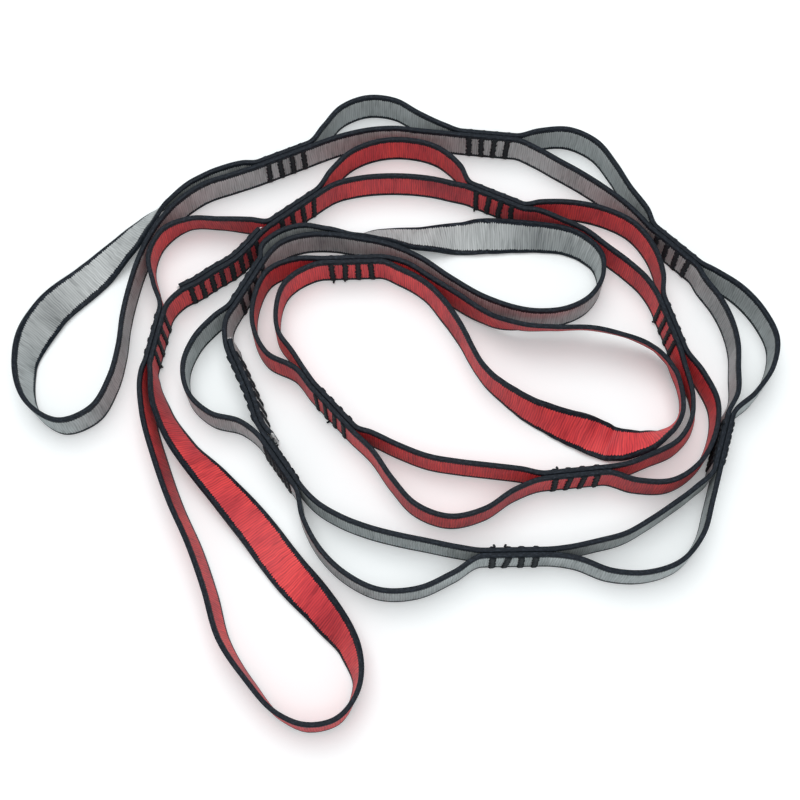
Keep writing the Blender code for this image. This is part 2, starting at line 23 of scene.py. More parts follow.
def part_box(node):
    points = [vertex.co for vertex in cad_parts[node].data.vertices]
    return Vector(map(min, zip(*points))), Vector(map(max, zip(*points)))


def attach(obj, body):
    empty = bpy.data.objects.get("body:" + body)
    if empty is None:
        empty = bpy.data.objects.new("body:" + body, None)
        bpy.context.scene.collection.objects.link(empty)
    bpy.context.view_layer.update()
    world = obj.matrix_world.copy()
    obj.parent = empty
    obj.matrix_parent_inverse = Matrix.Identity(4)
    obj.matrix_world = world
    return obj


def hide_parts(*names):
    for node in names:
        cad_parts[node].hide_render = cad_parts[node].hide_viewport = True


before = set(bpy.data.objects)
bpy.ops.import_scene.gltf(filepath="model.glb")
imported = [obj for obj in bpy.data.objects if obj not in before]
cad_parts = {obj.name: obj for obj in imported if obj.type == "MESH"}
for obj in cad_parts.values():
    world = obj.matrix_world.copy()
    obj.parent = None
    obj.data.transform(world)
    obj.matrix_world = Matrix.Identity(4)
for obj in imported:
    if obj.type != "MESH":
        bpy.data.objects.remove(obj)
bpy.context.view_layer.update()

Piece, Material, Socket = bpy.types.Object, bpy.types.Material, bpy.types.NodeSocket
Route = list["Waypoint"]

LOG = logging.getLogger("hammock_straps")
BODY = "root"

# Sizes that the frame was made with, in metres
WEBBING_WIDTH = 0.020
WEBBING_THICKNESS = 0.0024
LAYER_GAP = 0.0003
LAYER_PITCH = WEBBING_THICKNESS + LAYER_GAP
TACK_LENGTH = 0.024
BAR_WIDTH = 0.0024
BARS_PER_TACK = 4
BAR_SPACING = (TACK_LENGTH - BAR_WIDTH) / (BARS_PER_TACK - 1)
TACK_SEAM = -BAR_SPACING / 2
TACK_LEAD = 0.0030
SPLICE_BAR_PITCH = 0.0064
SPLICE_END_MARGIN = 0.0040
LAY_SPAN = 0.400
PLAN_STEPS = 1000  # steps of the way-point tables in one lay span
ROUTE_STEPS = 24  # steps of a route between two way points
FLAT_EASE = 0.07  # how softly the webbing sinks as it turns flat

# Sizes that only the looks have, in metres
RIB_PITCH = 0.0013
SEWN_WIDTH = 0.0031
STITCH_SEAT = 0.00006  # how far the ends of a stitch stand off the webbing
TACK_BAR_ENDS = (0.0010, 0.0190)  # height of a bar's lower and upper end
TACK_BAR_LEAN = 0.0005
SPLICE_BAR_REACH = 0.009  # from the webbing's middle line to a bar's end
FLAP_STEP = 0.001
FLAP_PEEL = 0.00003  # how far the flap stands off after one step
TAIL_REACH = 0.75  # share of its drift that a loose thread end is laid along
TAIL_BOW = 0.3  # how far it bows out, as a share of its way outwards
TAIL_GAUGES = (1.6, 1.4)
FRAY_ROWS = 14  # frayed yarns on each side of the middle one
FRAY_PITCH = 0.00066
FRAY_ROOT = 0.0008
FRAY_REACH = (0.0004, 0.0016)
FRAY_STRAYS = (0.0005, 0.0007, 0.0004)  # of a root outwards, of a tip up and outwards
FRAY_LOWEST = 0.0004
FRAY_GAUGE = 0.6

UP = Vector((0, 0, 1))
NEAR = 1e-5


class Side(Enum):
    """Side of a strand: the outer one lies to the left of the direction of travel."""

    OUTER = 1
    INNER = -1


class Slot(Enum):
    """Material slots of the record."""

    GREY_WEBBING = "grey_webbing"
    RED_WEBBING = "red_webbing"
    THREAD = "black_thread"


@dataclass(frozen=True)
class Tail:
    """A loose thread end that stands out of a bartack.

    Attributes:
        tack: Number of the bartack.
        bar: Place along the bartack, counted in bars.
        side: Face of the doubled webbing.
        height: Height off the floor where the thread comes out.
        drift: Which way it goes from there: ahead, outwards and upwards.
    """

    tack: int
    bar: float
    side: Side
    height: float
    drift: tuple


@dataclass(frozen=True)
class StrapLayout:
    """Where one strap lies and how it is sewn.

    A way point is x and y in thousandths of the lay span and, where they are not zero,
    the webbing's roll in degrees and its lift in thousandths of the lay span.

    Attributes:
        title: First word of each node's name.
        slot: Material slot of the webbing.
        tacks: x, y and heading in degrees of each bartack, in order from loop A on.
        outer: Way points of each pocket's outer strand.
        inner: Way points of each pocket's inner strand.
        loop_a: Way points of loop A.
        loop_b: Way points of loop B.
        loop_a_sides: Sides of the first bartack where loop A leaves and returns.
        loop_a_rolls: Rolls of the webbing at loop A's two ends.
        loop_b_rolls: Rolls of the webbing at loop B's two ends.
        splice_pocket: Pocket whose inner strand carries the overlap.
        splice_range: Start and end of the overlap, as shares of that strand's length.
        splice_side: Side of that strand that the overlap lies on.
        flap: Length of the loose flap at the overlap's start.
        dense_tacks: Bartacks that look nearly solid and get twice the bars.
        tails: Loose thread ends.
    """

    title: str
    slot: Slot
    tacks: tuple
    outer: tuple
    inner: tuple
    loop_a: tuple
    loop_b: tuple
    loop_a_sides: tuple
    loop_a_rolls: tuple
    loop_b_rolls: tuple
    splice_pocket: int
    splice_range: tuple
    splice_side: Side
    flap: float
    dense_tacks: tuple
    tails: tuple


GREY = StrapLayout(
    title="grey",
    slot=Slot.GREY_WEBBING,
    tacks=(
        (-160, 348, 24), (132, 380, -6), (385, 200, -45), (422.5, -87.5, -108),
        (148, -235, -179), (-148, -115, 125), (-202, 145, 62),
    ),
    outer=(
        ((-105, 395), (-80, 428), (-42, 445), (-2, 440), (32, 418), (68, 398)),
        ((205, 388), (248, 390), (285, 370), (310, 332), (328, 295), (350, 258)),
        ((435, 162), (470, 135), (495, 100), (508, 60), (498, 18), (472, -18)),
        ((400, -168), (385, -210), (355, -245), (312, -260), (268, -258), (225, -242)),
        ((72, -260), (28, -280), (-20, -282), (-62, -262), (-95, -230), (-118, -188)),
        ((-202, -60), (-242, -48), (-272, -20), (-282, 20), (-270, 60), (-245, 92)),
    ),
    inner=(
        ((-70, 382), (-35, 390), (0, 392), (32, 388), (68, 384)),
        ((200, 358), (230, 338), (260, 318), (290, 295), (318, 270), (342, 242)),
        ((420, 150), (438, 120), (450, 88), (455, 52), (452, 18), (448, -18)),
        ((380, -150), (350, -172), (320, -192), (288, -210), (252, -220), (215, -228)),
        ((78, -228), (40, -220), (2, -212), (-35, -202), (-70, -188), (-102, -168)),
        ((-178, -61, 7), (-192, -22, 8), (-208, 14, 8), (-223.8, 51, 8), (-227, 88, 3)),
    ),
    loop_a=(
        (-230, 315), (-272, 298), (-308, 268), (-335, 228), (-352, 185), (-362, 140),
        (-368, 95), (-370, 48), (-378, 2), (-398, -40), (-438, -58), (-478, -35, 4),
        (-499, 33, 20), (-478, 108, 60), (-427, 170, 86), (-379, 222, 116),
        (-354, 251, 134), (-326, 280, 156), (-288, 306, 174), (-255, 322, 180),
        (-218, 334, 180),
    ),
    loop_b=(
        (-186, 198, 180), (-162, 222, 180), (-132, 233, 178), (-95, 232, 168),
        (-55, 229, 154), (-22, 232, 136), (32, 230, 115), (90, 235, 88), (130, 232, 52),
        (165, 229, 34), (202, 226, 24), (240, 219, 18), (264, 205, 12), (280, 186, 6),
        (283, 162), (262, 122), (232, 105), (192, 100), (122, 120), (72, 152),
        (32, 182), (-10, 202), (-55, 212), (-95, 218), (-130, 216), (-160, 204),
    ),
    loop_a_sides=(Side.INNER, Side.OUTER),
    loop_a_rolls=(0, 180),
    loop_b_rolls=(180, 0),
    splice_pocket=6,
    splice_range=(0.25, 0.70),
    splice_side=Side.INNER,
    flap=0.008,
    dense_tacks=(4, 6),
    tails=(
        Tail(4, 0.2, Side.INNER, 0.0202, (-0.0012, 0.0002, 0.0014)),
        Tail(5, 2.9, Side.INNER, 0.0194, (0.0010, 0.0014, 0.0012)),
        Tail(5, 2.2, Side.INNER, 0.0194, (-0.0010, 0.0013, 0.0014)),
        Tail(6, 3.1, Side.INNER, 0.0190, (0.0016, 0.0016, 0.0010)),
        Tail(6, 2.6, Side.INNER, 0.0188, (0.0006, 0.0018, 0.0008)),
        Tail(6, 1.1, Side.OUTER, 0.0100, (-0.0030, 0.0016, 0.0010)),
    ),
)

RED = StrapLayout(
    title="red",
    slot=Slot.RED_WEBBING,
    tacks=(
        (-322, 65, 80), (-142, 262, 38), (140, 280, -25), (370, 82, -74),
        (230, -130, -174), (-82, -40, 132), (-62, 178, 2),
    ),
    outer=(
        (
            (-330, 142), (-340, 185), (-326, 225, -3), (-291, 248, -14),
            (-248, 248, -13), (-203, 244, -6),
        ),
        ((-92, 322), (-65, 352), (-25, 370), (18, 372), (58, 360), (90, 330)),
        ((202, 270), (248, 269), (292, 258), (330, 236), (354, 200), (364, 158)),
        ((405, 10), (420, -32), (412, -78), (390, -115), (352, -140), (308, -140)),
        ((152, -152), (112, -178), (68, -188), (25, -172), (-5, -138), (-32, -98)),
        ((-132, 15), (-172, 38), (-192, 78), (-192, 122), (-175, 162), (-135, 180)),
    ),
    inner=(
        ((-295, 128), (-272, 142), (-248, 160), (-222, 178), (-202, 200), (-185, 222)),
        ((-88, 298), (-55, 308), (-22, 312), (12, 312), (48, 308), (80, 300)),
        ((197, 257), (230, 242), (262, 225), (290, 200), (318, 175), (342, 148)),
        (
            (384, 14, -3), (391, -12, -9), (392, -34, -11), (386, -58, -8),
            (364, -87, -3), (328, -105), (295, -118),
        ),
        ((160, -125), (120, -120), (80, -115), (42, -108), (2, -92), (-32, -75)),
        ((-119, 10), (-138, 40), (-158, 70), (-162, 105), (-152, 142), (-125, 165)),
    ),
    loop_a=(
        (-335, 15, -2), (-326, -48, -12), (-306, -108, -13), (-283, -165, -13),
        (-255, -222, -13), (-232, -280, -12), (-212, -340, -10), (-178, -390, -6),
        (-138, -432, -2), (-108, -444), (-70, -436, -2), (-46, -392, -10),
        (-56, -350, -27), (-88, -305, -50), (-135, -251, -80), (-183, -190, -103),
        (-236, -131, -124), (-279, -85, -144), (-311, -31, -160), (-322.8, 10, -176),
    ),
    loop_b=(
        (10, 175), (48, 150), (88, 122, -2, 2), (122, 97, -8, 8), (165, 79, -18, 20),
        (210, 75, -22, 22), (260, 75, -24, 22), (307, 65, -26, 20), (344, 50, -24, 13),
        (362, 33, -20, 8), (372, 13, -12, 4), (378, -11, -11, 1), (378, -31, -8),
        (372, -49), (355, -65, 20), (328, -77, 48), (296, -78, 76), (268, -70, 104),
        (242, -62, 130), (222, -56, 145), (199, -46, 156), (175, -34, 164),
        (157, -21, 170), (141, -8, 175), (126, 6, 178), (112, 25, 180), (101, 46, 179),
        (92, 66, 178), (83, 83, 176), (66, 110, 174), (42, 140, 178), (5, 164, 180),
    ),
    loop_a_sides=(Side.OUTER, Side.INNER),
    loop_a_rolls=(0, -180),
    loop_b_rolls=(0, 180),
    splice_pocket=1,
    splice_range=(0.315, 0.82),
    splice_side=Side.OUTER,
    flap=0.001,
    dense_tacks=(),
    tails=(
        Tail(1, 0.0, Side.INNER, 0.0022, (-0.0006, 0.0018, -0.0008)),
        Tail(3, 0.0, Side.INNER, 0.0016, (0.0002, 0.0026, -0.0008)),
        Tail(4, 0.1, Side.INNER, 0.0020, (-0.0004, 0.0018, -0.0008)),
        Tail(5, 2.8, Side.INNER, 0.0192, (0.0010, 0.0014, 0.0008)),
        Tail(6, 1.6, Side.OUTER, 0.0020, (0.0006, 0.0020, -0.0008)),
        Tail(7, 0.1, Side.INNER, 0.0016, (-0.0006, 0.0030, -0.0007)),
        Tail(7, 0.9, Side.INNER, 0.0016, (0.0004, 0.0018, -0.0007)),
    ),
)


def plan_point(x: float, y: float) -> Vector:
    """Point of the floor, from two numbers of the way-point tables."""
    return Vector((x / PLAN_STEPS, y / PLAN_STEPS, 0)) * LAY_SPAN


def bar_place(bar: float) -> float:
    """Place of a bar along a bartack, from the bartack's middle."""
    return BAR_SPACING * (bar - (BARS_PER_TACK - 1) / 2)


@dataclass(frozen=True)
class Tack:
    """A bartack's place on the floor plan.

    Attributes:
        middle: Middle of the bartack in plan.
        along: Unit direction of travel.
        left: Unit normal on the outer side.
    """

    middle: Vector
    along: Vector
    left: Vector

    @classmethod
    def from_plan(cls, x: float, y: float, heading: float) -> "Tack":
        """Place a bartack from a row of the tables."""
        angle = math.radians(heading)
        along = Vector((math.cos(angle), math.sin(angle), 0))
        return cls(plan_point(x, y), along, UP.cross(along))

    def on_layer(self, side: Side, reach: float) -> Vector:
        """Point of one webbing layer, at a signed distance along from the middle."""
        aside = self.left * (side.value * LAYER_PITCH / 2)
        return self.middle + self.along * reach + aside


@dataclass(frozen=True)
class Waypoint:
    """One point of a route: its plan place, its roll in degrees and its lift."""

    place: Vector
    roll: float = 0.0
    lift: float = 0.0

    @classmethod
    def from_plan(cls, x: float, y: float, roll: float = 0.0, lift: float = 0.0) -> "Waypoint":
        """Place a control point from a way point of the tables."""
        return cls(plan_point(x, y), roll, lift / PLAN_STEPS * LAY_SPAN)


@dataclass(frozen=True)
class Station:
    """One cross-section of a strand.

    Attributes:
        centre: Middle of the cross-section.
        ahead: Unit direction of travel in plan.
        roll: Lean of the upper edge towards the outer side, in radians.
    """

    centre: Vector
    ahead: Vector
    roll: float

    @property
    def across(self) -> Vector:
        """Unit direction from the lower edge to the upper one."""
        return UP * math.cos(self.roll) + UP.cross(self.ahead) * math.sin(self.roll)

    @property
    def out(self) -> Vector:
        """Unit normal of the face on the outer side."""
        return UP.cross(self.ahead) * math.cos(self.roll) - UP * math.sin(self.roll)


def hermite(start: Vector, end: Vector, leave: Vector, arrive: Vector, part: float) -> Vector:
    """Point of the cubic that joins two points with given end tangents."""
    squared, cubed = part**2, part**3
    return (
        start * (2 * cubed - 3 * squared + 1)
        + leave * (cubed - 2 * squared + part)
        + end * (3 * squared - 2 * cubed)
        + arrive * (cubed - squared)
    )


def smooth_route(waypoints: Route) -> Route:
    """Join way points by a smooth curve.

    Args:
        waypoints: The control points. The first and the last lie inside a bartack.

    Returns:
        The same route in short steps.
    """
    places = [point.place for point in waypoints]
    chords = [(b - a).length for a, b in zip(places, places[1:])]
    slopes = [(places[1] - places[0]) / chords[0]]
    for index in range(1, len(places) - 1):
        before, after = chords[index - 1], chords[index]
        incoming = (places[index] - places[index - 1]) / before
        outgoing = (places[index + 1] - places[index]) / after
        slopes.append((incoming * after + outgoing * before) / (before + after))
    slopes.append((places[-1] - places[-2]) / chords[-1])
    slopes[1], slopes[-2] = slopes[0], slopes[-1]
    fine = [waypoints[0]]
    for index, chord in enumerate(chords):
        now, later = waypoints[index], waypoints[index + 1]
        leave, arrive = slopes[index] * chord, slopes[index + 1] * chord
        for step in range(1, ROUTE_STEPS + 1):
            part = step / ROUTE_STEPS
            eased = part * part * (3 - 2 * part)
            place = hermite(now.place, later.place, leave, arrive, part)
            roll = now.roll + (later.roll - now.roll) * (part + eased) / 2
            lift = now.lift + (later.lift - now.lift) * eased
            fine.append(Waypoint(place, roll, lift))
    return fine


def route_length(fine: Route) -> float:
    """Length of a route in plan."""
    return sum((later.place - now.place).length for now, later in zip(fine, fine[1:]))


def resample(
    fine: Route, pitch: float, offset: float = 0.0, reach: tuple = (0, 1)
) -> list[Station]:
    """Cut a route into even stations.

    Args:
        fine: The route in short steps.
        pitch: Greatest distance between stations.
        offset: Sideways shift of the whole route, to its left.
        reach: The stretch of the route to keep, as shares of its length.

    Returns:
        The stations in order.
    """
    travelled = [0.0]
    headings = []
    for now, later in zip(fine, fine[1:]):
        step = later.place - now.place
        travelled.append(travelled[-1] + step.length)
        headings.append(step.normalized())
    begin, finish = (share * travelled[-1] for share in reach)
    count = max(2, math.ceil((finish - begin) / pitch))
    stations = []
    index = 0
    for step in range(count + 1):
        target = begin + (finish - begin) * step / count
        while index < len(fine) - 2 and travelled[index + 1] < target:
            index += 1
        now, later = fine[index], fine[index + 1]
        part = (target - travelled[index]) / (travelled[index + 1] - travelled[index])
        ahead = headings[index]
        roll = math.radians(now.roll + (later.roll - now.roll) * part)
        lift = now.lift + (later.lift - now.lift) * part
        upright = math.hypot(math.cos(roll), FLAT_EASE) / math.hypot(1, FLAT_EASE)
        flat = abs(math.sin(roll))
        height = (WEBBING_WIDTH * upright + WEBBING_THICKNESS * flat) / 2 + lift
        place = now.place.lerp(later.place, part)
        centre = place + UP.cross(ahead) * offset + UP * height
        stations.append(Station(centre, ahead, roll))
    return stations


def tack_exit(tack: Tack, side: Side, travel: int, roll: float = 0.0) -> Route:
    """First two way points of a strand that leaves a bartack, ahead (1) or behind (-1)."""
    edge = travel * (TACK_LENGTH / 2 + TACK_LEAD)
    return [Waypoint(tack.on_layer(side, place), roll) for place in (TACK_SEAM, edge)]


def strand_route(leave: Route, points: tuple, arrive: Route) -> Route:
    """Route of a strand between the exits of two bartacks, the last taken backwards."""
    between = [Waypoint.from_plan(*point) for point in points]
    return smooth_route(leave + between + arrive[::-1])


def deselect() -> None:
    """Leave edit mode and deselect every object."""
    if bpy.context.object and bpy.context.object.mode != "OBJECT":
        bpy.ops.object.mode_set(mode="OBJECT")
    bpy.ops.object.select_all(action="DESELECT")


def take(piece: Piece) -> None:
    """Select one object and make it the active one."""
    deselect()
    piece.select_set(True)
    bpy.context.view_layer.objects.active = piece


@contextmanager
def editing(piece: Piece) -> Iterator[None]:
    """Hold an object in edit mode while its faces and edges are shaped."""
    take(piece)
    bpy.ops.object.mode_set(mode="EDIT")
    bpy.ops.mesh.select_mode(type="VERT")
    try:
        yield
    finally:
        bpy.ops.object.mode_set(mode="OBJECT")


def choose(piece: Piece, kind: str, test: Callable) -> None:
    """Select the elements of an edited mesh that pass a test, and nothing else.

    Args:
        piece: The object in edit mode.
        kind: "vert", "edge" or "face".
        test: Says whether an element is taken.
    """
    bpy.ops.mesh.select_mode(type=kind.upper())
    bpy.ops.mesh.select_all(action="DESELECT")
    cage = bmesh.from_edit_mesh(piece.data)
    for element in getattr(cage, f"{kind}s"):
        if test(element):
            element.select_set(True)
    cage.select_flush_mode()
    bmesh.update_edit_mesh(piece.data)


def cut(place: tuple, normal: tuple) -> None:
    """Cut a ring of edges right through the edited mesh."""
    bpy.ops.mesh.select_all(action="SELECT")
    bpy.ops.mesh.bisect(plane_co=place, plane_no=normal)


def modify(piece: Piece, kind: str, **settings: object) -> None:
    """Add a modifier with its settings and apply it."""
    modifier = piece.modifiers.new(kind.title(), kind)
    for name, value in settings.items():
        setattr(modifier, name, value)
    take(piece)
    bpy.ops.object.modifier_apply(modifier=modifier.name)


def freeze(piece: Piece) -> None:
    """Put an object's place, turn and size into its mesh."""
    take(piece)
    bpy.ops.object.transform_apply(location=True, rotation=True, scale=True)


def hang(name: str, data: bpy.types.ID) -> Piece:
    """Add an object for a curve, a lamp or a camera to the scene."""
    holder = bpy.data.objects.new(name, data)
    bpy.context.scene.collection.objects.link(holder)
    return holder


def duplicate(pattern: Piece) -> Piece:
    """Add a copy of a modelled pattern with its own mesh to the scene."""
    piece = pattern.copy()
    piece.data = pattern.data.copy()
    bpy.context.scene.collection.objects.link(piece)
    return piece


def dress(piece: Piece, material: Material) -> None:
    """Give a piece one material."""
    piece.data.materials.clear()
    piece.data.materials.append(material)


def join_all(pieces: list[Piece], name: str) -> Piece:
    """Join several objects into one piece at the origin."""
    deselect()
    for piece in pieces:
        piece.select_set(True)
    bpy.context.view_layer.objects.active = pieces[0]
    bpy.ops.object.join()
    joined = bpy.context.object
    joined.name = name
    joined.data.name = name
    freeze(joined)
    return joined


@dataclass(frozen=True)
class Grain:
    """One noise of a finish.

    Attributes:
        scale: How fine it is.
        detail: How many finer noises lie over it.
        stretch: Factors on its scale along, through and across the webbing.
    """

    scale: float
    detail: float
    stretch: tuple = (1, 1, 1)


class NodeSheet:
    """The node tree of a material or a world, written as sums."""

    def __init__(self, owner: bpy.types.ID, shader: str = "Principled BSDF") -> None:
        owner.use_nodes = True
        self.tree = owner.node_tree
        self.shader = self.tree.nodes[shader]

    def add(self, kind: str, **settings: object) -> bpy.types.Node:
        """Add a node with its settings."""
        node = self.tree.nodes.new(kind)
        for name, value in settings.items():
            setattr(node, name, value)
        return node

    def link(self, socket: Socket, value: object) -> None:
        """Feed a socket from another node, or set its value or its colour."""
        if isinstance(value, Socket):
            self.tree.links.new(value, socket)
        elif isinstance(value, tuple):
            socket.default_value = (*value, 1)
        else:
            socket.default_value = value

    def maths(self, operation: str, *values: object) -> Socket:
        """One step of arithmetic."""
        node = self.add("ShaderNodeMath", operation=operation)
        for socket, value in zip(node.inputs, values):
            self.link(socket, value)
        return node.outputs[0]

    def total(self, *values: object) -> Socket:
        """Sum of several values, added in their order."""
        result = values[0]
        for value in values[1:]:
            result = self.maths("ADD", result, value)
        return result

    def scaled(self, value: object, factor: float, base: object) -> Socket:
        """A value times a factor, on top of a base."""
        return self.maths("MULTIPLY_ADD", value, factor, base)

    def wave(self, value: object, length: float, kind: str = "COSINE") -> Socket:
        """A wave of a given length."""
        turns = self.maths("MULTIPLY", value, 2 * math.pi / length)
        return self.maths(kind, turns)

    def ramp(
        self, value: object, low: float, high: float, start: float = 0, end: float = 1
    ) -> Socket:
        """Carry a value smoothly from one range to another."""
        node = self.add("ShaderNodeMapRange", interpolation_type="SMOOTHSTEP")
        names = ("Value", "From Min", "From Max", "To Min", "To Max")
        for name, number in zip(names, (value, low, high, start, end)):
            self.link(node.inputs[name], number)
        return node.outputs["Result"]

    def shares(self, patterns: dict, table: dict) -> Socket:
        """Sum of what patterns add: the table has each one's range and full share."""
        rows = table.items()
        return self.total(
            *(self.ramp(patterns[name], low, high, 0.0, full) for name, (low, high, full) in rows)
        )

    def blend(self, share: object, first: object, second: object) -> Socket:
        """Mix two colours."""
        node = self.add("ShaderNodeMix", data_type="RGBA", blend_type="MIX")
        self.link(node.inputs["Factor"], share)
        self.link(node.inputs[6], first)
        self.link(node.inputs[7], second)
        return node.outputs[2]

    def noise(self, place: object, grain: Grain) -> Socket:
        """Noise of one grain."""
        mapping = self.add("ShaderNodeMapping")
        mapping.inputs["Scale"].default_value = grain.stretch
        self.link(mapping.inputs["Vector"], place)
        node = self.add("ShaderNodeTexNoise")
        self.link(node.inputs["Scale"], grain.scale)
        self.link(node.inputs["Detail"], grain.detail)
        self.link(node.inputs["Vector"], mapping.outputs["Vector"])
        return node.outputs["Fac"]

    def relief(self, height: object, depth: float) -> None:
        """Bump the shader's normal."""
        node = self.add("ShaderNodeBump")
        self.link(node.inputs["Strength"], 1.0)
        self.link(node.inputs["Distance"], depth)
        self.link(node.inputs["Height"], height)
        self.set(normal=node.outputs["Normal"])

    def set(self, **values: object) -> None:
        """Feed or set the shader's own sockets."""
        for name, value in values.items():
            title = name.replace("_", " ").title().replace("Ior", "IOR")
            self.link(self.shader.inputs[title], value)


PLACE = "weave_place"  # attribute with each point's place along, through and across
RIB_DRIFTS = ((Grain(300, 2, (1, 1, 0.5)), 0.0009), (Grain(120, 1, (0.5, 1, 1)), 0.0014))
FIBRES = Grain(2600, 3, (0.35, 1, 1))
PICKS = Grain(800, 2, (1, 1, 0.10))
BORDER = Grain(520, 3)
MOTTLE = Grain(1100, 2, (0.5, 1, 1))
# Noises of painted light and shade: satin highlights in patches, patches of shade, and shade in
# creases
PAINTED_LIGHT_AND_SHADE = {
    "highlight_patches": Grain(34, 2, (1, 1, 0.9)),
    "shade": Grain(19, 2, (1, 1, 0.6)),
    "crease_shade": Grain(150, 2, (1, 1, 0.2)),
}
# Painted highlight: range of each pattern and its full share
PAINTED_HIGHLIGHT_SHARES = {"highlight_patches": (0.40, 0.66, 0.7), "picks": (0.50, 0.28, 0.5)}
# Painted shade: range of each pattern and its full share
PAINTED_SHADE_SHARES = {
    "rib": (0.0, 1.0, 0.34),
    "weave": (0.2, 1.0, 0.12),
    "picks": (0.48, 0.70, 0.36),
    "crease_shade": (0.48, 0.72, 0.24),
    "shade": (0.50, 0.66, 0.44),
}
RELIEF_SHARES = {"weave": 0.35, "rib": -0.25, "fibres": 0.8}
# Painted highlight on the turns of face yarn at the border: depth inside it and rib wave from none
# to full
TURN_DEPTHS = (0.0012, 0.0002)
TURN_RIBS = (0.2, -0.6)
TURN_SHARE = 0.6
WORN = (0.45, 0.75)  # values of a fine noise between which black yarn turns pale


@dataclass(frozen=True)
class WebbingFinish:
    """Woven nylon webbing with black selvedges.

    Attributes:
        face: Colour of the face yarns.
        painted_highlight: Painted highlight, a paler colour where the satin of the weave catches
            the light.
        painted_shade: Painted shade, a darker colour between the ribs and yarns, along pick lines,
            in creases and in patches.
        sheen: Colour of the soft light at grazing angles.
        gloss: How strongly the face yarns mirror the lamps.
        selvedge: Colour of the black selvedge yarns.
        selvedge_light: Paler tone that mottles the selvedge.
        selvedge_width: Width of the black stripe on each face.
        yarn_pitch: Distance between the lengthwise yarns.
        tooth: Depth of the teeth where face yarns and selvedge meet.
        stray: How far that border strays.
        blur: Half the width over which it turns from black to colour.
    """

    face: tuple
    painted_highlight: tuple
    painted_shade: tuple
    sheen: tuple
    gloss: float
    selvedge: tuple = (0.010, 0.014, 0.020)
    selvedge_light: tuple = (0.028, 0.037, 0.050)
    selvedge_width: float = 0.0025
    yarn_pitch: float = 0.00072
    tooth: float = 0.00030
    stray: float = 0.0016
    blur: float = 0.00012

    def make(self, name: str) -> Material:
        """Make the material, on the woven place of each point."""
        material = bpy.data.materials.new(name)
        sheet = NodeSheet(material)
        woven = sheet.add("ShaderNodeAttribute", attribute_name=PLACE)
        place = woven.outputs["Vector"]
        parts = sheet.add("ShaderNodeSeparateXYZ")
        sheet.link(parts.inputs[0], place)
        along, across = parts.outputs["X"], parts.outputs["Z"]
        drift = along
        for grain, reach in RIB_DRIFTS:
            drift = sheet.scaled(sheet.noise(place, grain), reach, drift)
        bent = sheet.add("ShaderNodeCombineXYZ")
        sheet.link(bent.inputs["X"], drift)
        sheet.link(bent.inputs["Z"], across)
        rib = sheet.wave(drift, RIB_PITCH)
        yarn = sheet.wave(across, self.yarn_pitch, "SINE")
        patterns = {
            "rib": rib,
            "weave": sheet.maths("MULTIPLY", sheet.wave(along, 2 * RIB_PITCH), yarn),
            "fibres": sheet.noise(place, FIBRES),
            "picks": sheet.noise(bent.outputs[0], PICKS),
        }
        for title, grain in PAINTED_LIGHT_AND_SHADE.items():
            patterns[title] = sheet.noise(place, grain)

        depth = self.depth_inside(sheet, place, across, rib)
        is_face = sheet.ramp(depth, -self.blur, self.blur)
        # Painted highlight: the face turns paler in satin patches, on pick lines and on the yarn
        # turns at the border
        turns = sheet.ramp(depth, *TURN_DEPTHS), sheet.ramp(rib, *TURN_RIBS)
        glow = sheet.shares(patterns, PAINTED_HIGHLIGHT_SHARES)
        glow = sheet.scaled(sheet.maths("MULTIPLY", *turns), TURN_SHARE, glow)
        face = sheet.blend(glow, self.face, self.painted_highlight)
        # Painted shade: the face turns darker between ribs and yarns, along pick lines, in creases
        # and in patches
        face = sheet.blend(sheet.shares(patterns, PAINTED_SHADE_SHARES), face, self.painted_shade)
        mottle = sheet.ramp(sheet.noise(place, MOTTLE), *WORN)
        black = sheet.blend(mottle, self.selvedge, self.selvedge_light)
        sheet.set(
            base_color=sheet.blend(is_face, black, face),
            roughness=sheet.scaled(patterns["fibres"], 0.16, 0.40),
            specular_ior_level=sheet.scaled(is_face, self.gloss, 0.12),
            sheen_weight=sheet.scaled(is_face, 0.08, 0.02),
            sheen_roughness=0.45,
            sheen_tint=self.sheen,
        )
        heights = (
            sheet.maths("MULTIPLY", patterns[title], share)
            for title, share in RELIEF_SHARES.items()
        )
        sheet.relief(sheet.total(*heights), depth=0.00006)
        return material

    def depth_inside(self, sheet: NodeSheet, place: object, across: object, rib: object) -> Socket:
        """How far a point of the webbing lies inside the toothed border."""
        strays = sheet.maths("SUBTRACT", sheet.noise(place, BORDER), 0.5)
        strays = sheet.maths("MULTIPLY", strays, self.stray)
        border = sheet.total(sheet.scaled(rib, self.tooth, self.selvedge_width), strays)
        from_middle = sheet.maths("ABSOLUTE", across)
        inset = sheet.maths("SUBTRACT", WEBBING_WIDTH / 2, from_middle)
        return sheet.maths("SUBTRACT", inset, border)


# The paler and the darker colour of each finish are painted highlight and painted shade
GREY_FINISH = WebbingFinish(
    face=(0.485, 0.51, 0.51),
    painted_highlight=(0.60, 0.63, 0.63),
    painted_shade=(0.19, 0.205, 0.208),
    sheen=(0.9, 0.95, 0.94),
    gloss=0.30,
)
RED_FINISH = WebbingFinish(
    face=(0.73, 0.064, 0.078),
    painted_highlight=(0.97, 0.088, 0.088),
    painted_shade=(0.30, 0.022, 0.034),
    sheen=(1.0, 0.3, 0.3),
    gloss=0.16,
)


